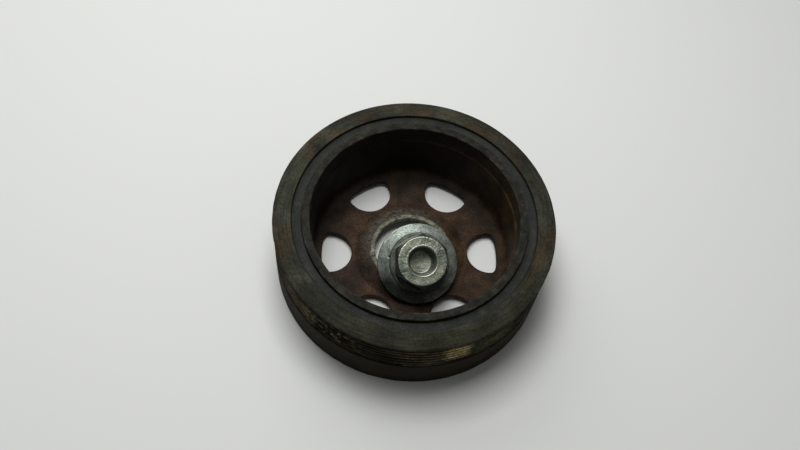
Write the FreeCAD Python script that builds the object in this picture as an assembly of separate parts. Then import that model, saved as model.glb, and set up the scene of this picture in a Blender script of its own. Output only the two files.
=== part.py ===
"""Crankshaft belt pulley with a rubber-bonded damper ring and its loose centre bolt.

The axis of the pulley is +Z and the origin is the centre of its back face, the one it lies on.
The open side of the cup, where the bolt's head is, looks up. All sizes are in millimetres.
"""
import FreeCAD, Part
import math
import os

# Outer ring: a turned iron ring with six belt grooves and a plain band behind them
ring_outer_radius = 77.5
ring_height = 48.2
ring_wall = 10.15
front_land_width = 4.2
front_bevel_drop = 1.0
ring_edge_chamfer = 0.5
back_edge_chamfer = 1.0
lip_width = 1.5
rib_count = 6
rib_pitch = 3.56
groove_depth = 2.9
groove_half_angle = 20.0
groove_floor_width = 0.8
rib_set_back = 0.25
relief_width = 1.3
relief_depth = 1.3
band_set_back = 0.1

# Rubber ring between the outer ring and the cup
rubber_thickness = 5.5
rubber_front_recess = 1.5
rubber_back_recess = 3.0
rubber_hollow = 0.7
bond_gap = 0.05

# Pressed steel cup: a deep rim, a flat web with six windows and a raised middle
rim_wall = 4.45
rim_proud = 0.8
rim_edge_chamfer = 0.5
bore_step_depth = 10.9
bore_step = 0.6
web_thickness = 3.0
web_back_height = 2.5
corner_radius = 4.5
cup_back_chamfer = 1.5
hub_rise = 4.3
hub_top_radius = 25.5
hub_foot_radius = 32.5
hub_hole_radius = 20.5
hub_hole_chamfer = 0.4
window_count = 6
window_heading = 8.0
window_round_radius = 12.8
window_centre_radius = 46.8
window_outer_radius = 51.5
window_corner_radius = 3.0

# Thick washer with a sloping top, held on the bolt under its collar
washer_radius = 22.75
washer_edge_height = 3.0
washer_height = 8.0
washer_top_radius = 17.4
washer_edge_chamfer = 0.35
washer_bore_gap = 0.08
washer_seat_gap = 0.02

# Centre bolt with a collar, a hexagon head and a round recess in the head
shank_radius = 9.0
tip_chamfer = 1.6
collar_radius = 16.6
collar_height = 2.0
collar_chamfer = 0.4
hex_across_flats = 27.0
hex_height = 12.0
hex_top_chamfer_radius = 13.2
hex_chamfer_angle = 30.0
hex_turn = 38.0
recess_radius = 7.9
recess_floor_radius = 6.3
recess_depth = 9.5
recess_mouth_chamfer = 0.5

# How the loose bolt leans in the hole of the cup
lean_angle = 23.6
lean_heading = -73.8
shank_rest_heading = -67.0
shank_side_gap = 0.3
washer_rest_gap = 0.3
tip_floor_gap = 0.3
settling_steps = 12

# Worked out from the sizes above
FRONT = FreeCAD.Vector(0, 0, 1)
CENTRE = FreeCAD.Vector(0, 0, 0)
ring_bore_radius = ring_outer_radius - ring_wall
rim_outer_radius = ring_bore_radius - rubber_thickness
rim_inner_radius = rim_outer_radius - rim_wall
rim_top = ring_height + rim_proud
bore_low_radius = rim_inner_radius - bore_step
web_top = web_back_height + web_thickness
hub_back = web_back_height + hub_rise
hub_top = web_top + hub_rise


def revolve(outline):
    """Turn a closed outline of (radius, height) points and arcs once round the Z axis."""
    edges = []
    here = FreeCAD.Vector(outline[0][0], 0, outline[0][1])
    for step in outline[1:] + [outline[0]]:
        if len(step) == 4:
            middle = FreeCAD.Vector(step[0], 0, step[1])
            end = FreeCAD.Vector(step[2], 0, step[3])
            edges.append(Part.Arc(here, middle, end).toShape())
        else:
            end = FreeCAD.Vector(step[0], 0, step[1])
            edges.append(Part.makeLine(here, end))
        here = end
    return Part.Face(Part.Wire(edges)).revolve(CENTRE, FRONT, 360)


def round_corner(radius, centre_r, centre_z, degrees):
    """The point of a corner arc that lies at an angle, seen from the arc's centre."""
    turn = math.radians(degrees)
    return (centre_r + radius * math.cos(turn), centre_z + radius * math.sin(turn))


def grooved_ring():
    """The outer ring, with its belt grooves, the relief behind them and the plain band."""
    bevel_start = ring_bore_radius + front_land_width
    lip_top = ring_height - front_bevel_drop
    rib_radius = ring_outer_radius - rib_set_back
    band_radius = ring_outer_radius - band_set_back
    floor_radius = rib_radius - groove_depth
    half_floor = groove_floor_width / 2
    half_mouth = half_floor + groove_depth * math.tan(math.radians(groove_half_angle))
    belt_top = lip_top - lip_width
    belt_bottom = belt_top - rib_count * rib_pitch
    outline = [
        (ring_bore_radius, back_edge_chamfer),
        (ring_bore_radius, ring_height - ring_edge_chamfer),
        (ring_bore_radius + ring_edge_chamfer, ring_height),
        (bevel_start, ring_height),
        (ring_outer_radius - ring_edge_chamfer, lip_top),
        (ring_outer_radius, lip_top - ring_edge_chamfer),
        (ring_outer_radius, belt_top),
    ]
    for number in range(rib_count):
        middle = belt_top - (number + 0.5) * rib_pitch
        outline += [
            (rib_radius, middle + half_mouth),
            (floor_radius, middle + half_floor),
            (floor_radius, middle - half_floor),
            (rib_radius, middle - half_mouth),
        ]
    outline += [
        (rib_radius, belt_bottom),
        (rib_radius - relief_depth, belt_bottom - relief_width / 2),
        (band_radius, belt_bottom - relief_width),
        (band_radius, back_edge_chamfer),
        (band_radius - back_edge_chamfer, 0),
        (ring_bore_radius + back_edge_chamfer, 0),
    ]
    return revolve(outline)


def damper_rubber():
    """The rubber ring, hollowed a little at both ends where it was squeezed in."""
    inner = rim_outer_radius + bond_gap
    outer = ring_bore_radius - bond_gap
    middle = (inner + outer) / 2
    top = ring_height - rubber_front_recess
    bottom = rubber_back_recess
    outline = [
        (inner, top),
        (middle, top - rubber_hollow, outer, top),
        (outer, bottom),
        (middle, bottom + rubber_hollow, inner, bottom),
    ]
    return revolve(outline)


def cup_body():
    """The cup before its windows are cut: rim, stepped bore, web and raised middle."""
    step_height = rim_top - bore_step_depth
    corner_r = bore_low_radius - corner_radius
    corner_z = web_top + corner_radius
    outline = [
        (hub_hole_radius, hub_back + hub_hole_chamfer),
        (hub_hole_radius, hub_top - hub_hole_chamfer),
        (hub_hole_radius + hub_hole_chamfer, hub_top),
        (hub_top_radius, hub_top),
        (hub_foot_radius, web_top),
        (corner_r, web_top),
        round_corner(corner_radius, corner_r, corner_z, -45) + (bore_low_radius, corner_z),
        (bore_low_radius, step_height - bore_step),
        (rim_inner_radius, step_height),
        (rim_inner_radius, rim_top - rim_edge_chamfer),
        (rim_inner_radius + rim_edge_chamfer, rim_top),
        (rim_outer_radius - rim_edge_chamfer, rim_top),
        (rim_outer_radius, rim_top - rim_edge_chamfer),
        (rim_outer_radius, web_back_height + cup_back_chamfer),
        (rim_outer_radius - cup_back_chamfer, web_back_height),
        (hub_foot_radius, web_back_height),
        (hub_top_radius, hub_back),
        (hub_hole_radius + hub_hole_chamfer, hub_back),
    ]
    return revolve(outline)


def window_cutter():
    """One window: a round hole cut off by an arc about the pulley's axis, with rounded corners."""
    through = web_thickness + 2 * web_back_height
    disc = Part.makeCylinder(window_outer_radius, through)
    hole = Part.makeCylinder(window_round_radius, through, FreeCAD.Vector(window_centre_radius, 0, 0))
    cutter = disc.common(hole)
    corners = []
    for edge in cutter.Edges:
        upright = abs(edge.BoundBox.ZLength - through) < 0.01
        straight = edge.BoundBox.XLength < 0.01 and edge.BoundBox.YLength < 0.01
        if upright and straight and abs(edge.BoundBox.YMin) > window_corner_radius:
            corners.append(edge)
    return cutter.makeFillet(window_corner_radius, corners)


def hub_cup():
    """The pressed cup with its windows spaced evenly round the web."""
    cup = cup_body()
    for number in range(window_count):
        cutter = window_cutter()
        cutter.rotate(CENTRE, FRONT, window_heading + number * 360.0 / window_count)
        cup = cup.cut(cutter)
    return cup


def bolt_washer():
    """The washer, standing on its clamping face, with its bore a running fit on the shank."""
    bore = shank_radius + washer_bore_gap
    outline = [
        (bore, 0),
        (bore, washer_height),
        (washer_top_radius, washer_height),
        (washer_radius - washer_edge_chamfer, washer_edge_height),
        (washer_radius, washer_edge_height - washer_edge_chamfer),
        (washer_radius, washer_edge_chamfer),
        (washer_radius - washer_edge_chamfer, 0),
    ]
    return revolve(outline)


def hex_head(base):
    """The hexagon on its collar, its corners turned off to a cone at the top."""
    corner = hex_across_flats / math.sqrt(3)
    points = []
    for number in range(7):
        turn = math.radians(hex_turn + number * 60.0)
        points.append(FreeCAD.Vector(corner * math.cos(turn), corner * math.sin(turn), base))
    prism = Part.Face(Part.makePolygon(points)).extrude(FreeCAD.Vector(0, 0, hex_height))
    top = base + hex_height
    drop = (corner - hex_top_chamfer_radius) * math.tan(math.radians(hex_chamfer_angle))
    envelope = revolve([
        (0, base),
        (corner, base),
        (corner, top - drop),
        (hex_top_chamfer_radius, top),
        (0, top),
    ])
    return prism.common(envelope)


def centre_bolt(shank_length):
    """The bolt on the washer's clamping plane, with its shank down the negative Z axis."""
    collar_base = washer_height + washer_seat_gap
    hex_base = collar_base + collar_height
    top = hex_base + hex_height
    body = revolve([
        (0, -shank_length),
        (shank_radius - tip_chamfer, -shank_length),
        (shank_radius, tip_chamfer - shank_length),
        (shank_radius, collar_base),
        (collar_radius, collar_base),
        (collar_radius, hex_base - collar_chamfer),
        (collar_radius - collar_chamfer, hex_base),
        (0, hex_base),
    ])
    recess = revolve([
        (0, top - recess_depth),
        (recess_floor_radius, top - recess_depth),
        (recess_radius, top - recess_mouth_chamfer),
        (recess_radius + recess_mouth_chamfer, top),
        (0, top),
    ])
    return body.fuse(hex_head(hex_base)).cut(recess)


def settle(washer, cup):
    """Stand the washer at its lean over the hole's edge and lower it until it almost rests on the cup."""
    lean = math.radians(lean_angle)
    heading = math.radians(lean_heading)
    rest = math.radians(shank_rest_heading)
    sideways = math.sin(lean)
    along = FreeCAD.Vector(sideways * math.cos(heading), sideways * math.sin(heading), math.cos(lean))
    offset = hub_hole_radius - shank_radius / math.cos(lean) - shank_side_gap
    foot = FreeCAD.Vector(offset * math.cos(rest), offset * math.sin(rest), hub_top)
    lift = washer_radius
    turn = FreeCAD.Rotation(FRONT, along)
    for step in range(settling_steps):
        placement = FreeCAD.Placement(foot + along * lift, turn)
        washer.Placement = placement
        lift -= washer.distToShape(cup)[0] - washer_rest_gap
    return placement


def write(node, shape):
    """Save one piece under its node's name."""
    shape.exportStep("parts/" + node + ".step")


os.makedirs("parts", exist_ok=True)
cup = hub_cup()
washer = bolt_washer()
leaning = settle(washer, cup)
lean = math.radians(lean_angle)
tip_rise = (shank_radius - tip_chamfer) * math.tan(lean)
thread_length = (leaning.Base.z - tip_floor_gap) / math.cos(lean) - tip_rise
bolt = centre_bolt(thread_length)
bolt.Placement = leaning

write("grooved_ring", grooved_ring())
write("damper_rubber", damper_rubber())
write("hub_cup", cup)
write("bolt_washer", washer)
write("crank_bolt", bolt)

axis = leaning.Rotation.multVec(FRONT)
print("clamping face centre", leaning.Base, "bolt axis", axis)
print("thread length", round(thread_length, 3), "hub top", hub_top, "hub back", hub_back)
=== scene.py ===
"""A used crankshaft belt pulley with its loose centre bolt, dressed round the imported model."""
import math

import bmesh
import bpy
import numpy as np
from mathutils import Matrix, Vector


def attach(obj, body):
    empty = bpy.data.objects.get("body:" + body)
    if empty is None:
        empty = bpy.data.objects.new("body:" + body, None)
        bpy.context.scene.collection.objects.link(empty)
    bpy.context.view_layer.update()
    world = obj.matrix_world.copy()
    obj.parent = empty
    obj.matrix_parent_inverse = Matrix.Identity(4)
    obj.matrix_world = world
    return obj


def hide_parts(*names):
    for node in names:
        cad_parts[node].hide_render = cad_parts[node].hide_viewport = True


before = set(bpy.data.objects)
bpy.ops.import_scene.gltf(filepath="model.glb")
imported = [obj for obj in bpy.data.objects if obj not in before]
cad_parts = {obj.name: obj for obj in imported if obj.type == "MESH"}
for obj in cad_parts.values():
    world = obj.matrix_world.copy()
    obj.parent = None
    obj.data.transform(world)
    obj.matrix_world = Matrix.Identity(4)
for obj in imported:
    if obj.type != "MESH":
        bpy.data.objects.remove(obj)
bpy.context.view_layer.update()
scene = bpy.context.scene
scene.view_settings.view_transform = "Standard"
scene.view_settings.look = "None"

# The camera is held a little over half a metre away, above and in front of the open cup,
# and rolled slightly to the left. Its place and lens follow the photograph's rim ellipses.
CAMERA_PLACE = (-0.0077, -0.2338, 0.4467)
CAMERA_ELEVATION = 60.35
CAMERA_ROLL = 7.56
LENS_MM = 38.25
camera_data = bpy.data.cameras.new("camera")
camera_data.lens = LENS_MM
camera_data.sensor_width = 36.0
camera_data.clip_start = 0.01
camera = bpy.data.objects.new("camera", camera_data)
scene.collection.objects.link(camera)
tilt = Matrix.Rotation(math.radians(90.0 - CAMERA_ELEVATION), 4, "X")
roll = Matrix.Rotation(math.radians(CAMERA_ROLL), 4, "Z")
camera.matrix_world = Matrix.Translation(CAMERA_PLACE) @ tilt @ roll
scene.camera = camera


# The studio is a plain pale floor under an even pale world. A small soft lamp hangs almost
# overhead, a little to the back left, and a larger, weaker one fills in from the back left.
def linear(hex_code):
    """An sRGB hex colour as linear red, green, blue and alpha: each channel through the sRGB curve."""
    channels = [int(hex_code[at:at + 2], 16) / 255.0 for at in (0, 2, 4)]
    curve = [c / 12.92 if c <= 0.04045 else ((c + 0.055) / 1.055) ** 2.4 for c in channels]
    return (*curve, 1.0)


def add_node(tree, kind, settings=None, links=None):
    """Add one shader node. A setting is an attribute, a ramp's stops, or the value of an input by name or
    place; a hex code is a colour. A link joins an input to an output, or to a node's first open output."""
    node = tree.nodes.new(kind)
    for name, value in (settings or {}).items():
        if name == "stops":
            for at, (place, colour) in enumerate(value):
                element = node.color_ramp.elements[at] if at < 2 else node.color_ramp.elements.new(place)
                element.position = place
                element.color = linear(colour) if isinstance(colour, str) else (colour, colour, colour, 1.0)
        elif isinstance(name, str) and hasattr(node, name):
            setattr(node, name, value)
        else:
            socket = open_socket(node.inputs, name)
            socket.default_value = linear(value) if isinstance(value, str) else value
    for name, source in (links or {}).items():
        is_socket = isinstance(source, bpy.types.NodeSocket)
        output = source if is_socket else [each for each in source.outputs if each.enabled][0]
        tree.links.new(output, open_socket(node.inputs, name))
    return node


def open_socket(sockets, name):
    """The socket at a place, or the one in use among those that share a name."""
    if isinstance(name, int):
        return sockets[name]
    return [socket for socket in sockets if socket.name == name and socket.enabled][0]


def blank_material(name):
    """A new node material with only its output, and that material's tree."""
    material = bpy.data.materials.new(name)
    material.use_nodes = True
    tree = material.node_tree
    for node in list(tree.nodes):
        tree.nodes.remove(node)
    return material, tree


def soft_light(name, place, aim, size, watts):
    """A square area light at a place, turned to face a point."""
    data = bpy.data.lights.new(name, "AREA")
    data.shape = "SQUARE"
    data.size = size
    data.energy = watts
    light = bpy.data.objects.new(name, data)
    scene.collection.objects.link(light)
    direction = Vector(aim) - Vector(place)
    light.matrix_world = Matrix.Translation(place) @ direction.to_track_quat("-Z", "Y").to_matrix().to_4x4()
    return light


FLOOR_COLOUR = "cdcecb"
FLOOR_HALF_SIZE = 3.0
floor_mesh = bpy.data.meshes.new("studio_floor")
square = ((-1, -1), (1, -1), (1, 1), (-1, 1))
floor_corners = [(x * FLOOR_HALF_SIZE, y * FLOOR_HALF_SIZE, 0.0) for x, y in square]
floor_mesh.from_pydata(floor_corners, [], [(0, 1, 2, 3)])
studio_floor = bpy.data.objects.new("studio_floor", floor_mesh)
scene.collection.objects.link(studio_floor)
floor_material, floor_tree = blank_material("matt_pale_paper")
floor_shader = add_node(floor_tree, "ShaderNodeBsdfPrincipled",
                        {"Base Color": FLOOR_COLOUR, "Roughness": 0.9})
add_node(floor_tree, "ShaderNodeOutputMaterial", links={"Surface": floor_shader.outputs["BSDF"]})
floor_mesh.materials.append(floor_material)

soft_light("key_softbox", (-0.11, 0.17, 0.85), (0.0, 0.0, 0.02), 0.42, 6.7)
soft_light("back_left_fill", (-0.4, 0.75, 0.62), (0.0, 0.0, 0.03), 0.8, 4.0)
world = bpy.data.worlds.new("pale_room")
world.use_nodes = True
world.node_tree.nodes["Background"].inputs["Color"].default_value = linear("c8cac8")
world.node_tree.nodes["Background"].inputs["Strength"].default_value = 0.28
scene.world = world

# The cup is pressed from thick steel sheet and turned on its rim and bore. Its web has six
# windows with rolled-over edges, and its raised middle has the round hole for the crankshaft.
# It was never painted: thin red-brown rust lies on the web, darker oil and dust on the wall.
# Light is painted on as a lighter orange over the right-hand side of the web and wall.
MM = 0.001
CUP_SECTOR_STEPS = 80
CUP_SIDE_STEPS = 14
CUP_COUNT = 6
WINDOW_HEADING = 8.0
WINDOW_ROUND = 12.8
WINDOW_CENTRE = 46.8
WINDOW_OUTER = 51.5
WINDOW_MIDDLE = 44.5
WINDOW_CORNER_BLEND = 4.4
WEB_INNER = 33.0
WEB_OUTER = 52.3
WEB_TOP = 5.5
WEB_BACK = 2.5
HUB_BORE = 20.5
WALL_INNER = 56.8
RIM_INNER = 57.4
RIM_MIDDLE = 59.6
RIM_TOP = 49.0
CUP_RADIUS = 61.85


def soft_profile(corners, spacing):
    """A polyline through (radius, height, rounding) corners. Each corner is a quadratic curve that
    starts and ends one rounding away from it, and long straight runs are divided to the spacing."""
    points = []
    places = [np.array(corner[:2], float) for corner in corners]
    for at, corner in enumerate(corners):
        here = places[at]
        if at in (0, len(corners) - 1) or corner[2] == 0:
            points.append(here)
            continue
        into = places[at - 1] - here
        away = places[at + 1] - here
        start = here + into / np.linalg.norm(into) * corner[2]
        end = here + away / np.linalg.norm(away) * corner[2]
        for t in np.linspace(0.0, 1.0, 5):
            points.append(start * (1 - t) ** 2 + 2 * here * t * (1 - t) + end * t ** 2)
    filled = [points[0]]
    for last, following in zip(points[:-1], points[1:]):
        pieces = max(1, int(np.ceil(np.linalg.norm(following - last) / spacing)))
        filled += [last + (following - last) * step / pieces for step in range(1, pieces + 1)]
    return np.array(filled)


def lattice_noise(turns, heights, across, along, seed):
    """Value noise from 0 to 1: random values on a lattice that wraps once round, blended with a
    smooth step between the four nearest. turns is the place round, from 0 to 1; heights is any size."""
    values = np.random.default_rng(seed).random((across, 64))
    u = np.mod(turns, 1.0) * across
    v = np.mod(heights * along, 64.0)
    u0, v0 = np.floor(u).astype(int), np.floor(v).astype(int)
    fu, fv = u - u0, v - v0
    fu, fv = fu * fu * (3 - 2 * fu), fv * fv * (3 - 2 * fv)
    u0, v0, u1, v1 = u0 % across, v0 % 64, (u0 + 1) % across, (v0 + 1) % 64
    low = values[u0, v0] * (1 - fu) + values[u1, v0] * fu
    high = values[u0, v1] * (1 - fu) + values[u1, v1] * fu
    return low * (1 - fv) + high * fv


def round_place(x, y):
    """The distance of a place from the axis, and its angle round it as a share of a whole turn."""
    return np.hypot(x, y), np.arctan2(y, x) / (2 * np.pi)


def turned(profile, steps):
    """A profile carried once round the Z axis: rows follow the profile, columns the turn. In mm."""
    angle = np.linspace(0.0, 2 * np.pi, steps, endpoint=False)
    radius, height = profile[:, 0:1], profile[:, 1:2]
    return np.stack([radius * np.cos(angle), radius * np.sin(angle), height + 0 * angle], axis=-1)


def add_surface(name, patches, marks, placing=None, weld=0.00002, sharp_degrees=40.0):
    """One closed mesh from grids of points in millimetres. Each patch is (points, closed round), its
    cells are quads, and points on shared borders are welded. marks gives three wear values per point.
    The points before placing are kept in the attribute place_mm, so patterns follow the turned shape."""
    points, quads, start = [], [], 0
    for grid, closed in patches:
        rows, columns = grid.shape[:2]
        index = start + np.arange(rows * columns).reshape(rows, columns)
        if closed:
            index = np.concatenate([index, index[:, :1]], axis=1)
        corners = [index[:-1, :-1], index[:-1, 1:], index[1:, 1:], index[1:, :-1]]
        quads.append(np.stack(corners, axis=-1).reshape(-1, 4))
        points.append(grid.reshape(-1, 3))
        start += rows * columns
    points = np.concatenate(points)
    mesh = bpy.data.meshes.new(name)
    mesh.from_pydata((points * MM).tolist(), [], np.concatenate(quads).tolist())
    shell = bmesh.new()
    shell.from_mesh(mesh)
    bmesh.ops.remove_doubles(shell, verts=shell.verts, dist=weld)
    bmesh.ops.dissolve_degenerate(shell, edges=shell.edges, dist=weld / 4)
    bmesh.ops.recalc_face_normals(shell, faces=shell.faces)
    shell.to_mesh(mesh)
    shell.free()
    mesh.shade_smooth()
    mesh.set_sharp_from_angle(angle=math.radians(sharp_degrees))
    piece = bpy.data.objects.new(name, mesh)
    scene.collection.objects.link(piece)
    place = np.empty(len(mesh.vertices) * 3)
    mesh.vertices.foreach_get("co", place)
    place = place.reshape(-1, 3) / MM
    mesh.attributes.new("place_mm", "FLOAT_VECTOR", "POINT").data.foreach_set("vector", place.ravel())
    colours = np.clip(marks(*place.T), 0, 1)
    layer = mesh.color_attributes.new("wear", "FLOAT_COLOR", "POINT")
    layer.data.foreach_set("color", np.column_stack([*colours, np.ones(len(place))]).ravel())
    if placing is not None:
        mesh.transform(Matrix.Scale(MM, 4) @ placing @ Matrix.Scale(1 / MM, 4))
    return piece


def window_reach(angle):
    """How far the window's edge is from the window's middle in each direction: the nearer of the
    round hole and the outer arc about the axis, blended smoothly where they meet."""
    cosine, sine = np.cos(angle), np.sin(angle)
    shift = WINDOW_MIDDLE - WINDOW_CENTRE
    to_round = -shift * cosine + np.sqrt(WINDOW_ROUND ** 2 - (shift * sine) ** 2)
    to_arc = -WINDOW_MIDDLE * cosine + np.sqrt(WINDOW_OUTER ** 2 - (WINDOW_MIDDLE * sine) ** 2)
    mix = np.clip(0.5 + 0.5 * (to_arc - to_round) / WINDOW_CORNER_BLEND, 0, 1)
    return to_arc * (1 - mix) + to_round * mix - WINDOW_CORNER_BLEND * mix * (1 - mix)


def swung(x, y, heading):
    """A place turned about the axis by a heading: the cosine of each coordinate less or plus the
    sine of the other."""
    return x * np.cos(heading) - y * np.sin(heading), x * np.sin(heading) + y * np.cos(heading)


def web_sector(number):
    """The web round one window, top and back: a grid that runs from the sector's border to the
    window's edge, over its rolled lip, through the sheet and back out to the border below."""
    half = np.pi / CUP_COUNT
    swing = np.linspace(-half, half, CUP_SECTOR_STEPS + 1)
    reach = np.linspace(WEB_INNER, WEB_OUTER, CUP_SIDE_STEPS + 1)
    radius = np.concatenate([np.full(CUP_SECTOR_STEPS, WEB_INNER), reach[:-1],
                             np.full(CUP_SECTOR_STEPS, WEB_OUTER), reach[:0:-1]])
    turn = np.concatenate([swing[:-1], np.full(CUP_SIDE_STEPS, half),
                           swing[:0:-1], np.full(CUP_SIDE_STEPS, -half)])
    border = np.stack([radius * np.cos(turn) - WINDOW_MIDDLE, radius * np.sin(turn)], axis=-1)
    angle = np.arctan2(border[:, 1], border[:, 0])
    ray = np.stack([np.cos(angle), np.sin(angle)], axis=-1)
    edge = window_reach(angle)[:, None]
    top_lip, back_lip = 0.75, 0.35
    rows = []
    for share in np.linspace(0.0, 1.0, 9) ** 0.8:
        rows.append((border * (1 - share) + ray * (edge + top_lip) * share, WEB_TOP))
    for bend in np.radians((22, 45, 68, 90)):
        rows.append((ray * (edge + top_lip * (1 - np.sin(bend))), WEB_TOP - top_lip * (1 - np.cos(bend))))
    for bend in np.radians((90, 45, 0)):
        rows.append((ray * (edge + back_lip * (1 - np.sin(bend))),
                     WEB_BACK + back_lip * (1 - np.cos(bend))))
    for share in np.linspace(0.75, 0.0, 5):
        rows.append((border * (1 - share) + ray * (edge + back_lip) * share, WEB_BACK))
    heading = math.radians(WINDOW_HEADING) + number * 2 * half
    grid = []
    for place, height in rows:
        x, y = place[:, 0] + WINDOW_MIDDLE, place[:, 1]
        grid.append(np.stack([*swung(x, y, heading), np.full(len(x), height)], axis=-1))
    return np.array(grid)


cup_steps = CUP_COUNT * CUP_SECTOR_STEPS
cup_outer_profile = soft_profile([
    (WEB_OUTER, WEB_TOP, 0), (WALL_INNER, WEB_TOP, 4.3), (WALL_INNER, 37.5, 0.4), (RIM_INNER, 38.1, 0.25),
    (RIM_INNER, RIM_TOP, 0.7), (CUP_RADIUS, RIM_TOP, 0.6), (CUP_RADIUS, 2.6, 1.4),
    (WEB_OUTER, WEB_BACK, 0)], 1.9)
cup_inner_profile = soft_profile([
    (WEB_INNER, WEB_TOP, 0), (32.2, WEB_TOP, 0.7), (25.6, 9.75, 2.4), (HUB_BORE, 9.8, 0.5),
    (HUB_BORE, 6.8, 0.35), (25.5, 6.8, 1.5), (32.5, WEB_BACK, 0.4), (WEB_INNER, WEB_BACK, 0)], 1.0)


def turn_to_window(grid):
    """Turn a grid so that its first column lies on a border between two windows."""
    heading = math.radians(WINDOW_HEADING) - np.pi / CUP_COUNT
    return np.stack([*swung(grid[..., 0], grid[..., 1], heading), grid[..., 2]], axis=-1)


def cup_dents(grid):
    """Small dents: the turned rim is nicked where parts knocked it, by up to a quarter millimetre,
    and rust scabs raise or eat the wall between web and rim by up to six hundredths."""
    x, y, z = grid[..., 0], grid[..., 1], grid[..., 2]
    radius, turns = round_place(x, y)
    nick = np.clip(lattice_noise(turns, z, 180, 0.9, 5) - 0.78, 0, 1) * np.clip((z - 47.6) / 1.0, 0, 1)
    below_rim = np.clip((46 - z) / 3, 0, 1)
    above_web = np.clip((z - 8) / 3, 0, 1)
    scab = (lattice_noise(turns, z, 260, 0.8, 6) - 0.5) * 0.12 * below_rim * above_web
    inside = np.where(radius < RIM_MIDDLE, 1.0, -1.0)
    shift = np.where(radius > 61.5, 0.0, nick * 0.9 * inside + scab)
    return np.stack([x * (1 + shift / radius), y * (1 + shift / radius), z - nick * 0.35], axis=-1)


def cup_marks(x, y, z):
    """Where the cup is bare metal: the washer's seat, a faint halo round it and the rim's edges.
    Where oil and dust darken it: the outer web, the wall and the rim. Where light is painted on
    as a lighter orange: the right-hand side below the rim."""
    radius, turns = round_place(x, y)
    ragged = (lattice_noise(turns, radius, 40, 0.7, 11) - 0.5) * 1.3
    seat = np.clip((23.3 + ragged - radius) / 0.5, 0, 1) * (z > 6.0)
    halo = np.clip((31.5 - radius) / 5.0, 0, 1) * 0.3 * np.clip(-np.cos(turns * 2 * np.pi + 0.9), 0, 1)
    edges = np.clip(np.abs(radius - RIM_MIDDLE) - 1.6, 0, 1)
    rim = np.clip((z - 48.2) / 0.5, 0, 1) * (0.10 + 0.3 * edges) * lattice_noise(turns, radius, 90, 0.5, 13)
    web = np.clip((radius - 34.0) / 17.0, 0, 1) * (0.5 + 0.25 * np.abs(np.sin(turns * 2 * np.pi)))
    wall = np.clip((z - 6) / 8, 0, 1) * (0.7 + 0.3 * lattice_noise(turns, z, 14, 0.06, 12))
    oil = np.maximum(web, wall)
    # Painted light: the right-hand side of the web and wall, where light falls, is turned a lighter orange.
    side = np.cos(turns * 2 * np.pi + 0.15)
    painted_light_right = 0.8 * np.clip(side, 0, 1) ** 1.3 * np.clip((z - 3) / 6, 0, 1)
    return np.max((seat, rim, halo), axis=0), np.clip(oil + 0.9 * (z > 48), 0, 1), painted_light_right * (z < 47)


# Rusted pressed steel: a rough matt red-brown skin with blotches a few millimetres wide and a fine
# sandy grain, black with oil on the far wall. The turned rim is dull grey, and the ring that the
# washer clamped is still clean metal.
def surface_inputs(tree):
    """The place on the piece in millimetres, and its three wear values."""
    place = add_node(tree, "ShaderNodeAttribute", {"attribute_name": "place_mm"}).outputs["Vector"]
    wear = add_node(tree, "ShaderNodeAttribute", {"attribute_name": "wear"}).outputs["Color"]
    marks = add_node(tree, "ShaderNodeSeparateColor", links={"Color": wear})
    return place, marks.outputs["Red"], marks.outputs["Green"], marks.outputs["Blue"]


def finish_material(tree, colour, height, bump_mm, settings, links=None):
    """Join a colour, a bump height and the gloss values into one shader and the material's output."""
    bump = add_node(tree, "ShaderNodeBump",
                    {"Strength": 0.7, "Distance": bump_mm * MM}, {"Height": height})
    shader = add_node(tree, "ShaderNodeBsdfPrincipled", settings,
                      {"Base Color": colour, "Normal": bump, **(links or {})})
    add_node(tree, "ShaderNodeOutputMaterial", links={"Surface": shader})


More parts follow.
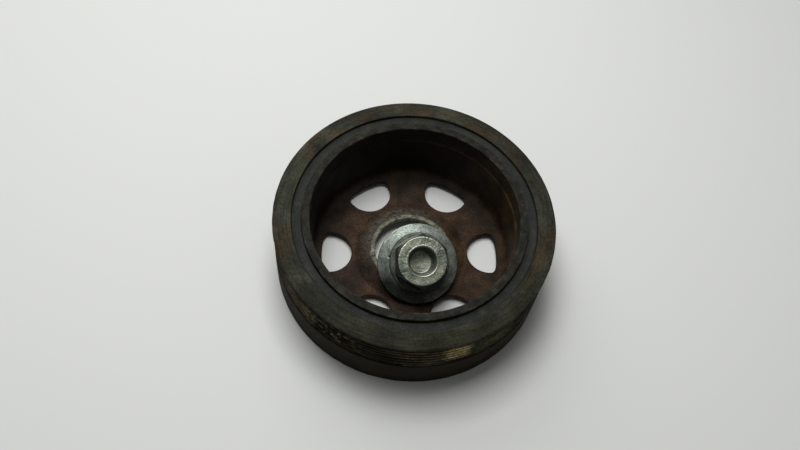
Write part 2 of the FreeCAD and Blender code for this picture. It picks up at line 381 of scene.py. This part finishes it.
def rusted_pressed_steel():
    """The cup's material: the wear values are bare metal, oil and dust, and painted light that turns
    the right-hand side a lighter orange.
    """
    material, tree = blank_material("rusted_pressed_steel")
    place, bare, oil, painted_light_right = surface_inputs(tree)
    clouds = add_node(tree, "ShaderNodeTexNoise", {"Scale": 1 / 9.0, "Detail": 6.0}, {"Vector": place})
    grain = add_node(tree, "ShaderNodeTexNoise", {"Scale": 1 / 0.9, "Detail": 3.0}, {"Vector": place})
    spots = add_node(tree, "ShaderNodeTexNoise", {"Scale": 1 / 3.0, "Detail": 5.0}, {"Vector": place})
    rust = add_node(tree, "ShaderNodeValToRGB",
                    {"stops": [(0.30, "241a12"), (0.50, "3c2c21"), (0.70, "4f3c2d")]}, {"Fac": clouds})
    orange = add_node(tree, "ShaderNodeValToRGB",
                      {"stops": [(0.32, "2a1c11"), (0.52, "43301b"), (0.70, "544022")]}, {"Fac": clouds})
    black = add_node(tree, "ShaderNodeValToRGB",
                     {"stops": [(0.35, "0a0a05"), (0.65, "17140b")]}, {"Fac": clouds})
    metal = add_node(tree, "ShaderNodeValToRGB",
                     {"stops": [(0.30, "46443a"), (0.50, "7c7b6d"), (0.72, "9b9a8b")]}, {"Fac": spots})
    oiled = add_node(tree, "ShaderNodeMix", {"data_type": "RGBA"}, {"Factor": oil, "A": rust, "B": black})
    # Painted light: the right-hand side is mixed towards the lighter orange.
    painted_lit_side = add_node(tree, "ShaderNodeMix",
                       {"data_type": "RGBA"}, {"Factor": painted_light_right, "A": oiled, "B": orange})
    cleaned = add_node(tree, "ShaderNodeMix",
                       {"data_type": "RGBA"}, {"Factor": bare, "A": painted_lit_side, "B": metal})
    speckle = add_node(tree, "ShaderNodeValToRGB", {"stops": [(0.38, 0.45), (0.62, 1.0)]}, {"Fac": grain})
    colour = add_node(tree, "ShaderNodeMix", {"data_type": "RGBA", "blend_type": "MULTIPLY", "Factor": 1.0},
                      {"A": cleaned, "B": speckle})
    shine = add_node(tree, "ShaderNodeMath", {"operation": "MULTIPLY", 1: 0.5}, {0: bare})
    finish_material(tree, colour, grain, 0.12, {"Roughness": 0.75, "Specular IOR Level": 0.15},
                    {"Metallic": shine})
    return material


hub_cup = add_surface("hub_cup_pressed_steel",
                      [(cup_dents(turn_to_window(turned(cup_outer_profile, cup_steps))), True),
                       (turn_to_window(turned(cup_inner_profile, cup_steps)), True)]
                      + [(web_sector(number), True) for number in range(CUP_COUNT)], cup_marks)
hub_cup.data.materials.append(rusted_pressed_steel())
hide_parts("hub_cup")
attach(hub_cup, "hub")

# The rubber ring joins the cup to the outer ring. It is black rubber squeezed in and bonded, sunk
# below both metal faces, with a low bead along each bond, a waved surface and a film of grey dust.
RUBBER_STEPS = 600
RUBBER_INNER = 61.95
RUBBER_OUTER = 67.25
rubber_front_profile = soft_profile([
    (RUBBER_INNER, 45.0, 0), (RUBBER_INNER, 46.65, 0.12), (62.7, 46.55, 0.5), (64.6, 46.0, 1.2),
    (66.4, 46.5, 0.6), (RUBBER_OUTER, 46.65, 0.12), (RUBBER_OUTER, 45.0, 0)], 0.35)
rubber_back_profile = soft_profile([
    (RUBBER_OUTER, 5.0, 0), (RUBBER_OUTER, 3.05, 0.15), (64.6, 3.7, 1.5), (RUBBER_INNER, 3.05, 0.15),
    (RUBBER_INNER, 5.0, 0)], 0.6)
rubber_profile = np.concatenate([rubber_front_profile, rubber_back_profile, rubber_front_profile[:1]])


def rubber_waves(grid):
    """The bonded rubber is never quite level: its front is waved and blistered by a tenth or two."""
    x, y, z = grid[..., 0], grid[..., 1], grid[..., 2]
    radius, turns = round_place(x, y)
    swell = lattice_noise(turns, radius, 60, 0.5, 21) * 0.22
    wave = swell + lattice_noise(turns, radius, 260, 1.2, 22) * 0.12
    return np.stack([x, y, z - wave * (z > 45.5)], axis=-1)


def rubber_marks(x, y, z):
    """Where shade is painted in the creases along the two bonds, and where dust lies. The third value
    stays nought.
    """
    radius, turns = round_place(x, y)
    bond = np.clip((radius - 66.3) / 0.8, 0, 1) + np.clip((62.5 - radius) / 0.5, 0, 1)
    dust = lattice_noise(turns, radius, 36, 0.4, 23)
    return bond, dust, 0 * dust


# Old black rubber: nearly matt, a little grey with dust, with painted shade in the creases along the bonds.
def aged_black_rubber():
    """The damper rubber's material: the first two wear values are the creases' painted shade and the dust."""
    material, tree = blank_material("aged_black_rubber")
    place, painted_crease_shade, dust = surface_inputs(tree)[:3]
    clouds = add_node(tree, "ShaderNodeTexNoise", {"Scale": 1 / 6.0, "Detail": 5.0}, {"Vector": place})
    grain = add_node(tree, "ShaderNodeTexNoise", {"Scale": 1 / 0.7, "Detail": 4.0}, {"Vector": place})
    body = add_node(tree, "ShaderNodeValToRGB",
                    {"stops": [(0.30, "1c201c"), (0.55, "282a26"), (0.72, "35352f")]}, {"Fac": clouds})
    film = add_node(tree, "ShaderNodeMath", {"operation": "MULTIPLY", 1: 0.3}, {0: dust})
    dusted = add_node(tree, "ShaderNodeMix",
                      {"data_type": "RGBA", "B": "3a3a35"}, {"Factor": film, "A": body})
    # Painted shade: the creases along the bonds are darkened towards black.
    shade = add_node(tree, "ShaderNodeMath", {"operation": "MULTIPLY", 1: 0.8}, {0: painted_crease_shade})
    creased = add_node(tree, "ShaderNodeMix",
                       {"data_type": "RGBA", "B": "0a0a0a"}, {"Factor": shade, "A": dusted})
    speckle = add_node(tree, "ShaderNodeValToRGB", {"stops": [(0.38, 0.5), (0.60, 1.0)]}, {"Fac": grain})
    colour = add_node(tree, "ShaderNodeMix", {"data_type": "RGBA", "blend_type": "MULTIPLY", "Factor": 1.0},
                      {"A": creased, "B": speckle})
    finish_material(tree, colour, grain, 0.20, {"Roughness": 0.8, "Specular IOR Level": 0.2})
    return material


damper_rubber = add_surface("damper_rubber_ring",
                            [(rubber_waves(turned(rubber_profile, RUBBER_STEPS)), True)], rubber_marks)
damper_rubber.data.materials.append(aged_black_rubber())
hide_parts("damper_rubber")
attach(damper_rubber, "hub")

# The ring is cast iron, turned all over and bonded round the rubber. Six V-grooves for the belt run
# round its front half, then a narrow relief and a plain band. It has lain about: the face is dull
# grey-brown, dirt and scale fill the grooves, edges are chipped, and one short patch is rubbed bright.
# Painted shade darkens the near side of the face and a line under the lip.
RING_STEPS = 780
RIB_PITCH = 3.56
RIB_COUNT = 6
BELT_TOP = 45.7
BELT_BOTTOM = BELT_TOP - RIB_COUNT * RIB_PITCH
RIB_RADIUS = 77.25
RING_BORE = 67.35
RING_FACE = 48.2
LIP_RADIUS = 77.46
RELIEF_RADIUS = 75.95
BAND_RADIUS = 77.38
OUTSIDE_RADIUS = 73.5
BRIGHT_HEADING = 293.5
WORN_HEADING = 280.0
SCALE_HEADING = 243.0
FLAKES_HEADING = 241.0
SCALE_HEIGHT = 34.0
DRY_HEADINGS = (309.0, 222.0)
GROOVE_OFFSETS = (1.50, 1.36, 1.10, 0.45, 0.20, -0.20, -0.45, -1.10, -1.36, -1.50)
GROOVE_DEPTHS = (0.03, 0.30, 0.99, 2.72, 2.88, 2.88, 2.72, 0.99, 0.30, 0.03)
groove_rows = [(RIB_RADIUS - depth, BELT_TOP - (number + 0.5) * RIB_PITCH + offset)
               for number in range(RIB_COUNT) for offset, depth in zip(GROOVE_OFFSETS, GROOVE_DEPTHS)]
ring_front_profile = soft_profile([
    (RING_BORE, 46.0, 0), (RING_BORE, RING_FACE, 0.45), (71.55, RING_FACE, 0.5), (LIP_RADIUS, 47.15, 0.75),
    (LIP_RADIUS, 45.85, 0.12), (RIB_RADIUS, 45.65, 0)], 1.1)
ring_back_profile = soft_profile([
    (RIB_RADIUS, BELT_BOTTOM + 0.1, 0), (RELIEF_RADIUS, 23.69, 0.35), (BAND_RADIUS, 23.0, 0.25),
    (BAND_RADIUS, 0.0, 0.9), (RING_BORE, 0.0, 0.9), (RING_BORE, 2.0, 0)], 2.2)
ring_profile = np.concatenate([ring_front_profile, groove_rows, ring_back_profile, ring_front_profile[:1]])


def near(turns, heading, width):
    """A smooth hump round one heading in degrees: 1 within half a width of it, 0 beyond one and a
    half widths, and a smooth step of the angle between."""
    away = np.abs((turns * 360.0 - heading + 180.0) % 360.0 - 180.0)
    share = np.clip(1.5 - away / width, 0, 1)
    return share ** 2 * (3 - 2 * share)


def painted_shade_near_side(turns):
    """The weight of the shade painted on the side towards the camera: one there, falling smoothly to
    nought a quarter turn away.
    """
    return np.clip(-np.sin(turns * 2 * np.pi - 0.15), 0, 1) ** 2


def ring_wear(grid):
    """Dirt in the grooves, chips along the edges, scale on the near left and pits everywhere, in mm."""
    x, y, z = grid[..., 0], grid[..., 1], grid[..., 2]
    radius, turns = round_place(x, y)
    outside = radius > OUTSIDE_RADIUS
    belt = outside & (z < BELT_TOP + 0.1) & (z > BELT_BOTTOM - 0.1)
    rubbed = near(turns, BRIGHT_HEADING, 6.5)
    fill = (0.25 + 0.55 * lattice_noise(turns, z, 50, 0.12, 31)) * (1 - 0.85 * rubbed)
    shift = np.where(belt, (RIB_RADIUS - radius) * fill * np.where(z > 43.0, 0.3, 1.0), 0.0)
    scale = near(turns, SCALE_HEADING, 9.0) * np.clip(1.6 - np.abs(z - SCALE_HEIGHT) / 7.0, 0, 1)
    crust = np.clip(lattice_noise(turns, z, 300, 0.75, 32) - 0.45, 0, 1) * 1.3 * scale
    chipped = np.clip(lattice_noise(turns, z, 170, 0.3, 33) - 0.45, 0, 1)
    edge = np.exp(-((z - 24.1) / 1.3) ** 2) * chipped * 2.2
    nicked = np.clip(lattice_noise(turns, z, 140, 0.3, 34) - 0.6, 0, 1)
    lip = np.exp(-((z - 45.9) / 0.7) ** 2) * nicked * 0.9
    foot = np.clip(1.2 - z / 1.5, 0, 1) * np.clip(lattice_noise(turns, z, 200, 0.3, 35) - 0.6, 0, 1) * 0.6
    pits = np.clip(lattice_noise(turns, z + radius, 520, 0.8, 36) - 0.62, 0, 1) * 0.45
    shift = shift - np.where(outside, crust + edge * (1 - rubbed) + lip + foot + pits * (z < 45), 0.0)
    rough = pits * 0.35 + 0.05 * lattice_noise(turns, radius, 90, 0.5, 37)
    sink = np.where((z > 46.9) & (radius > 67.5), rough, 0.0)
    return np.stack([x * (1 + shift / radius), y * (1 + shift / radius), z - sink], axis=-1)


def ring_marks(x, y, z):
    """Where the ring is rubbed bright, where it is brown with rust, thinned by painted shade on the near
    side of the face, and where it is darkened: by oil and dirt in the grooves, but less at two dry
    spots, on the flaking scale and on the plain band, and by painted shade in a line under the lip
    and on the near side of the face."""
    radius, turns = round_place(x, y)
    in_belt = (radius > OUTSIDE_RADIUS) & (z < BELT_TOP) & (z > BELT_BOTTOM)
    streaks = lattice_noise(turns, z, 70, 0.3, 41)
    patch = near(turns, BRIGHT_HEADING, 4.4 + 1.5 * streaks) * in_belt * np.clip((z - 27.5) / 2.0, 0, 1)
    bright = patch * np.clip((radius - 76.3) / 0.6, 0.05, 1) * np.clip(0.8 + 0.6 * streaks, 0, 1)
    crests = np.clip((radius - 76.6) / 0.5, 0, 1)
    worn = crests * in_belt * near(turns, WORN_HEADING, 10.0) * streaks * 0.22
    scaly = np.clip(1.6 - np.abs(z - SCALE_HEIGHT) / 8.0, 0, 1)
    flakes = near(turns, FLAKES_HEADING, 12.0) * scaly * (radius > OUTSIDE_RADIUS)
    chips = np.clip(lattice_noise(turns, z, 300, 0.75, 32) * 5 - 2.6, 0, 1) * flakes
    # Painted shade: the brown stain is thinned on the near side of the face, leaving it greyer and greener.
    brown = lattice_noise(turns, radius + z, 42, 0.16, 42) * (1 - 0.6 * painted_shade_near_side(turns) * (z > 46))
    side = np.where(radius > 77.0, 0.5, 0.0) * (z < 24)
    darkening = 0.7 + 0.4 * lattice_noise(turns, z, 60, 0.25, 43)
    low = np.clip((24.4 - z) / 1.0, 0, 1) * (radius > 74) * darkening
    # Painted shade: a dark line under the lip, where a narrow groove would fall in shade.
    painted_shade_under_lip = (z > 45.2) & (z < 45.9) & (radius > 76.9)
    dry_spots = np.maximum(near(turns, DRY_HEADINGS[0], 9.0), near(turns, DRY_HEADINGS[1], 10.0))
    oily = 1 - 0.75 * dry_spots * np.clip(1.5 - np.abs(z - 35) / 8, 0, 1)
    fill = np.clip((77.1 - radius) / 0.8, 0, 1) * in_belt * (1 - 0.7 * flakes) * oily
    # The last two parts are painted shade: a line under the lip and the near side of the face.
    dirt_and_shade_parts = (flakes * (1 - chips) * oily, low, fill, painted_shade_under_lip * 1.0, 0.45 * painted_shade_near_side(turns) * (z > 46))
    rubbed = np.maximum(bright, worn + 0.2 * chips + 0.16 * (1 - oily) * in_belt)
    return rubbed, np.clip(brown + side, 0, 1), np.clip(np.max(dirt_and_shade_parts, axis=0), 0, 1)


# Weathered cast iron: dull and rough, dark grey with olive and brown stains. Streaks left by the
# turning tool grain it, and the rubbed patch shows warm bare metal along the rib crests.
def turned_streaks(tree, place, width_mm, length_mm):
    """Marks of a turning tool: noise that changes fast across the tool's path, over the distance from
    the axis plus the height divided by a width, and slowly along it, over the place divided by a length."""
    flat = add_node(tree, "ShaderNodeVectorMath",
                    {"operation": "MULTIPLY", 1: (1.0, 1.0, 0.0)}, {0: place})
    reach = add_node(tree, "ShaderNodeVectorMath", {"operation": "LENGTH"}, {0: flat})
    height = add_node(tree, "ShaderNodeVectorMath",
                      {"operation": "DOT_PRODUCT", 1: (0.0, 0.0, 1.0)}, {0: place})
    across = add_node(tree, "ShaderNodeMath", {"operation": "ADD"}, {0: reach, 1: height})
    fast = add_node(tree, "ShaderNodeMath", {"operation": "MULTIPLY", 1: 1.0 / width_mm}, {0: across})
    upward = add_node(tree, "ShaderNodeCombineXYZ", links={"Z": fast})
    slow = (1.0 / length_mm, 1.0 / length_mm, 0.0)
    spot = add_node(tree, "ShaderNodeVectorMath",
                    {"operation": "MULTIPLY_ADD", 1: slow}, {0: place, 2: upward})
    return add_node(tree, "ShaderNodeTexNoise", {"Scale": 1.0, "Detail": 3.0}, {"Vector": spot})


def weathered_cast_iron():
    """The ring's material: the wear values are rubbed metal, brown stain, and dirt and oil with painted
    shade. The tool's streaks are drawn 0.8 mm wide, coarser than the real ones, so that they show."""
    material, tree = blank_material("weathered_cast_iron")
    place, rubbed, stain, dirt_and_painted_shade = surface_inputs(tree)
    clouds = add_node(tree, "ShaderNodeTexNoise", {"Scale": 1 / 14.0, "Detail": 6.0}, {"Vector": place})
    fine = add_node(tree, "ShaderNodeTexNoise", {"Scale": 1 / 1.4, "Detail": 4.0}, {"Vector": place})
    grey = add_node(tree, "ShaderNodeValToRGB",
                    {"stops": [(0.32, "22241c"), (0.52, "313328"), (0.68, "414033")]}, {"Fac": clouds})
    brown = add_node(tree, "ShaderNodeValToRGB",
                     {"stops": [(0.35, "2a2518"), (0.52, "393122"), (0.66, "453827")]}, {"Fac": clouds})
    share = add_node(tree, "ShaderNodeValToRGB", {"stops": [(0.42, 0.0), (0.75, 1.0)]}, {"Fac": stain})
    stained = add_node(tree, "ShaderNodeMix",
                       {"data_type": "RGBA"}, {"Factor": share, "A": grey, "B": brown})
    # The third wear value darkens with oil and dirt, and with painted shade under the lip and on the near
    # face.
    dark_share = add_node(tree, "ShaderNodeMath", {"operation": "MULTIPLY", 1: 0.94}, {0: dirt_and_painted_shade})
    darkened = add_node(tree, "ShaderNodeMix",
                      {"data_type": "RGBA", "B": "1b1505"}, {"Factor": dark_share, "A": stained})
    bare = add_node(tree, "ShaderNodeValToRGB",
                    {"stops": [(0.32, "a08c5c"), (0.50, "c9b684"), (0.68, "e8dbb4")]}, {"Fac": fine})
    worn = add_node(tree, "ShaderNodeMix",
                    {"data_type": "RGBA"}, {"Factor": rubbed, "A": darkened, "B": bare})
    streaks = turned_streaks(tree, place, 0.8, 14.0)
    mixed = add_node(tree, "ShaderNodeMath", {"operation": "MULTIPLY_ADD", 1: 1.1}, {0: streaks, 2: fine})
    level = add_node(tree, "ShaderNodeMath", {"operation": "MULTIPLY", 1: 0.48}, {0: mixed})
    speckle = add_node(tree, "ShaderNodeValToRGB", {"stops": [(0.40, 0.42), (0.62, 1.0)]}, {"Fac": level})
    grained = add_node(tree, "ShaderNodeMath", {"operation": "SUBTRACT", 0: 1.0}, {1: rubbed})
    colour = add_node(tree, "ShaderNodeMix", {"data_type": "RGBA", "blend_type": "MULTIPLY"},
                      {"Factor": grained, "A": worn, "B": speckle})
    height = add_node(tree, "ShaderNodeMath", {"operation": "ADD"}, {0: streaks, 1: fine})
    shine = add_node(tree, "ShaderNodeMath", {"operation": "MULTIPLY", 1: 0.6}, {0: rubbed})
    finish_material(tree, colour, height, 0.25, {"Roughness": 0.75, "Specular IOR Level": 0.12},
                    {"Metallic": shine})
    return material


grooved_ring = add_surface("grooved_ring_cast_iron",
                           [(ring_wear(turned(ring_profile, RING_STEPS)), True)], ring_marks)
grooved_ring.data.materials.append(weathered_cast_iron())
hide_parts("grooved_ring")
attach(grooved_ring, "belt_ring")

# The washer is turned steel with a flat clamping face, a straight edge and a long cone up to the
# bolt's collar. It leans on the shoulder of the cup's raised middle, tipped towards the camera.
CLAMPING_CENTRE = Vector((4.76818, -12.00751, 15.64922))
BOLT_AXIS = Vector((0.1116938, -0.3844526, 0.9163628))
lean = Vector((0, 0, 1)).rotation_difference(BOLT_AXIS).to_matrix().to_4x4()
leaning = Matrix.Translation(CLAMPING_CENTRE) @ lean
WASHER_STEPS = 360
WASHER_BORE = 9.12
WASHER_EDGE = 22.72
PIT_PLACE = (-17.2, 0.4)
washer_profile = soft_profile([
    (WASHER_BORE, 4.0, 0), (WASHER_BORE, 7.97, 0.3), (17.3, 7.97, 0.5), (22.4, 3.05, 0.45),
    (WASHER_EDGE, 2.7, 0.15), (WASHER_EDGE, 0.02, 0.4), (WASHER_BORE, 0.02, 0.3), (WASHER_BORE, 4.0, 0)], 0.7)


def washer_dents(grid):
    """Nicks along the washer's edge and shallow knocks on its cone, up to three tenths deep."""
    x, y, z = grid[..., 0], grid[..., 1], grid[..., 2]
    radius, turns = round_place(x, y)
    at_edge = np.clip((radius - 21.6) / 0.8, 0, 1)
    nick = np.clip(lattice_noise(turns, z, 90, 0.6, 51) - 0.72, 0, 1) * at_edge * 1.1
    knock = np.clip(lattice_noise(turns, radius, 46, 0.5, 52) - 0.74, 0, 1) * (z > 3.2) * (radius > 11) * 0.8
    pit = np.clip(1 - np.hypot(x - PIT_PLACE[0], y - PIT_PLACE[1]) / 0.9, 0, 1) * (z > 3.2) * 0.7
    return np.stack([x * (1 - nick / radius), y * (1 - nick / radius), z - knock - pit], axis=-1)


def washer_marks(x, y, z):
    """Where the washer is rubbed, where it is stained, and where it is darkened: by painted shade round
    the collar, along the outer edge and over the low side towards the camera, and in the one pit."""
    radius, turns = round_place(x, y)
    stain = lattice_noise(turns, radius, 16, 0.2, 53)
    at_edge = np.clip((radius - 20.5) / 1.0, 0, 1)
    rubbed = np.clip(lattice_noise(turns, radius, 30, 0.3, 54) - 0.6, 0, 1) * at_edge
    # Painted shade: round the collar's foot and on the outer edge's wall.
    painted_collar_shade = np.clip((18.0 - radius) / 1.0, 0, 1) * (z > 5)
    darkening = np.maximum(painted_collar_shade, np.clip((radius - 22.45) / 0.2, 0, 1) * 0.8)
    pit = np.clip(1.4 - np.hypot(x - PIT_PLACE[0], y - PIT_PLACE[1]) / 0.8, 0, 1)
    # Painted shade: the low side, turned towards the camera and away from the light.
    painted_low_side_shade = np.clip(0.2 - 1.3 * np.sin(turns * 2 * np.pi), 0, 1) * (0.75 + 0.3 * stain)
    return rubbed, stain, np.clip(np.max((darkening, pit, painted_low_side_shade), axis=0), 0, 1)


# Zinc-plated steel gone dull: soft grey-green metal with milky stains and faint tool streaks,
# brighter along the knocked edge and with painted highlights on the bolt's head. It is darkened by
# painted shade in corners, in the recess and on faces turned from the light, and in the washer's pit
# and on the thread.
def dull_plated_steel(name, shades, streak_mm):
    """Dull plated steel from three hex shades, dark to pale, with tool streaks of a width in mm. The
    wear values are rubbed metal and painted highlights, stain, and darkening that is mostly painted shade."""
    material, tree = blank_material(name)
    place, rubbed, stain, darkening = surface_inputs(tree)
    clouds = add_node(tree, "ShaderNodeTexNoise", {"Scale": 1 / 5.0, "Detail": 6.0}, {"Vector": place})
    fine = add_node(tree, "ShaderNodeTexNoise", {"Scale": 1 / 0.8, "Detail": 4.0}, {"Vector": place})
    plate = add_node(tree, "ShaderNodeValToRGB",
                     {"stops": list(zip((0.30, 0.50, 0.68), shades))}, {"Fac": clouds})
    milky = add_node(tree, "ShaderNodeMath", {"operation": "MULTIPLY", 1: 0.5}, {0: stain})
    stained = add_node(tree, "ShaderNodeMix",
                       {"data_type": "RGBA", "B": "7f8f83"}, {"Factor": milky, "A": plate})
    # The first wear value is rubbed metal on the washer and painted highlights on the bolt.
    edge = add_node(tree, "ShaderNodeMath", {"operation": "MULTIPLY", 1: 0.5}, {0: rubbed})
    bright = add_node(tree, "ShaderNodeMix",
                      {"data_type": "RGBA", "B": "d8dbd3"}, {"Factor": edge, "A": stained})
    # The third wear value darkens towards near-black: painted shade, and the washer's pit and the bolt's
    # thread.
    dark_share = add_node(tree, "ShaderNodeMath", {"operation": "MULTIPLY", 1: 0.92}, {0: darkening})
    darkened = add_node(tree, "ShaderNodeMix",
                      {"data_type": "RGBA", "B": "0b0c07"}, {"Factor": dark_share, "A": bright})
    speckle = add_node(tree, "ShaderNodeValToRGB", {"stops": [(0.38, 0.55), (0.60, 1.0)]}, {"Fac": fine})
    colour = add_node(tree, "ShaderNodeMix", {"data_type": "RGBA", "blend_type": "MULTIPLY", "Factor": 1.0},
                      {"A": darkened, "B": speckle})
    metal = add_node(tree, "ShaderNodeMath", {"operation": "MULTIPLY_ADD", 1: -0.5, 2: 0.85}, {0: darkening})
    height = add_node(tree, "ShaderNodeMath", {"operation": "ADD"},
                      {0: turned_streaks(tree, place, streak_mm, 9.0), 1: fine})
    roughness = add_node(tree, "ShaderNodeValToRGB",
                         {"stops": [(0.30, 0.38), (0.70, 0.52)]}, {"Fac": clouds})
    finish_material(tree, colour, height, 0.08, {"Specular IOR Level": 0.25},
                    {"Roughness": roughness, "Metallic": metal})
    return material


bolt_washer = add_surface("bolt_washer_steel", [(washer_dents(turned(washer_profile, WASHER_STEPS)), True)],
                          washer_marks, leaning)
washer_shades = ("a8b6a9", "d6e1d5", "e8efe6")
bolt_washer.data.materials.append(dull_plated_steel("dull_plated_washer_steel", washer_shades, 0.5))
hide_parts("bolt_washer")
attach(bolt_washer, "washer")

# The centre bolt is forged and plated: a hexagon on a round collar, turned to a curved edge at the
# top, with a round recess in the head and a rolled thread below. It stands loose in the washer.
BOLT_STEPS = 360
SHANK_RADIUS = 8.97
SHANK_END = -13.517
THREAD_PITCH = 1.5
THREAD_DEPTH = 0.9
COLLAR_BASE = 8.04
COLLAR_RADIUS = 16.55
HEX_BASE = 10.02
HEAD_TOP = 22.0
HEX_FLATS = 27.0
HEX_TURN = 38.0
CHAMFER_CIRCLE = 13.2
CHAMFER_SLOPE = math.tan(math.radians(30.0))
CORNER_BLEND = 0.25
CORNER_REACH = 1.2
HEX_FOOT_RADIUS = 15.62
RECESS_FLOOR = 12.55


def hexagon_radius(turn):
    """The distance from the axis to the hexagon in each direction, its corners rounded off."""
    sector = np.pi / 3
    from_flat = np.abs((turn - math.radians(HEX_TURN)) % sector - sector / 2)
    sharp = HEX_FLATS / 2 / np.cos(from_flat)
    corner = HEX_FLATS / math.sqrt(3)
    return sharp - CORNER_BLEND * np.clip((sharp - corner + CORNER_REACH) / CORNER_REACH, 0, 1) ** 2


def bolt_grid():
    """The bolt's whole surface, tip to recess: rings about its axis, in millimetres."""
    turn = np.linspace(0, 2 * np.pi, BOLT_STEPS, endpoint=False)
    one = np.ones_like(turn)
    rings = [(one * 0.0, one * SHANK_END)]
    rings += [(one * radius, one * height) for radius, height in soft_profile(
        [(2.0, SHANK_END, 0), (7.3, SHANK_END, 0.3), (8.2, SHANK_END + 1.1, 0)], 1.2)]
    for height in np.arange(SHANK_END + 1.25, -1.2, THREAD_PITCH / 6):
        phase = np.abs(((height / THREAD_PITCH + turn / (2 * np.pi)) % 1.0) * 2 - 1)
        entry = np.clip((height - SHANK_END) / 2.2, 0.0, 1.0)
        crest = SHANK_RADIUS - (1 - entry) * 0.9
        rings.append((crest - THREAD_DEPTH * np.clip(phase * 1.25 - 0.12, 0, 1) * entry, one * height))
    rings += [(one * radius, one * height) for radius, height in soft_profile(
        [(SHANK_RADIUS, -1.0, 0), (SHANK_RADIUS, COLLAR_BASE, 0.3), (COLLAR_RADIUS, COLLAR_BASE, 0.3),
         (COLLAR_RADIUS, HEX_BASE - 0.05, 0.45), (HEX_FOOT_RADIUS, HEX_BASE, 0)], 1.3)]
    side = hexagon_radius(turn)
    chamfer_start = HEAD_TOP - (side - CHAMFER_CIRCLE) * CHAMFER_SLOPE
    for inward, height in ((-0.35, 0.0), (-0.1, 0.12), (0.0, 0.4)):
        rings.append((np.minimum(side - inward, HEX_FOOT_RADIUS), HEX_BASE + height * one))
    for share in np.linspace(0.1, 0.97, 12):
        rings.append((side, HEX_BASE + 0.4 + (chamfer_start - HEX_BASE - 0.4) * share))
    for share in (0.06, 0.2, 0.4, 0.6, 0.8, 0.94):
        rings.append((side + (CHAMFER_CIRCLE - side) * share,
                      chamfer_start + (HEAD_TOP - chamfer_start) * share))
    rings += [(one * radius, one * height) for radius, height in soft_profile(
        [(12.9, HEAD_TOP, 0), (8.4, HEAD_TOP, 0.35), (7.75, 21.3, 0.5), (6.3, 12.9, 0.7),
         (0.8, RECESS_FLOOR, 0)], 0.6)]
    rings.append((one * 0.0, one * RECESS_FLOOR))
    return np.array([np.stack([radius * np.cos(turn), radius * np.sin(turn), height], axis=-1)
                     for radius, height in rings])


def bolt_dents(grid):
    """Forging unevenness on the head's top and small knocks along the edges of the hexagon."""
    x, y, z = grid[..., 0], grid[..., 1], grid[..., 2]
    radius, turns = round_place(x, y)
    head = (z > HEX_BASE + 1) & (radius > 8.6)
    fine = lattice_noise(turns, radius, 120, 1.1, 61)
    broad = lattice_noise(turns, radius, 34, 0.4, 62)
    rough = (fine * 0.10 + broad * 0.10) * head
    knock = np.clip(lattice_noise(turns, z, 70, 0.4, 63) - 0.75, 0, 1) * (radius > 14.2) * head * 1.2
    safe = np.maximum(radius, 0.1)
    return np.stack([x * (1 - knock / safe), y * (1 - knock / safe), z - rough * (z > 20.5)], axis=-1)


def bolt_marks(x, y, z):
    """Where highlights are painted, along the recess's mouth and the head's edge, where the bolt is
    stained, and where it is darkened: by painted shade in the recess and on the side faces, and on the
    thread."""
    radius, turns = round_place(x, y)
    stain = lattice_noise(turns, radius + z, 22, 0.3, 64)
    # Painted highlights: bright rings round the recess's mouth and along the head's top edge.
    mouth = np.exp(-((radius - 8.3) / 0.45) ** 2) * (z > 20.8)
    corner = np.exp(-((radius - 13.25) / 0.25) ** 2) * (z > HEAD_TOP - 0.25)
    in_recess = np.clip((8.0 - radius) / 0.6, 0, 1)
    # Painted shade: the recess's wall.
    painted_recess_shade = in_recess * np.clip((z - 12.9) / 1.5, 0, 1) * np.clip((21.5 - z) / 1.5, 0, 1)
    # Painted shade: the hexagon's and the collar's side faces, turned from the light.
    painted_side_shade = (radius > 13.35) * (z > COLLAR_BASE + 1.8) * np.where(z > HEX_BASE + 0.3, 0.95, 0.7)
    thread = (z < 0.5) * 0.6
    return np.maximum(mouth, corner * 0.8), stain, np.clip(painted_recess_shade * 0.6 + painted_side_shade + thread, 0, 1)


crank_bolt = add_surface("crank_bolt_steel", [(bolt_dents(bolt_grid()), True)], bolt_marks, leaning)
bolt_shades = ("64685a", "8e9180", "b0b29f")
crank_bolt.data.materials.append(dull_plated_steel("dull_plated_bolt_steel", bolt_shades, 0.5))
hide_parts("crank_bolt")
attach(crank_bolt, "bolt")
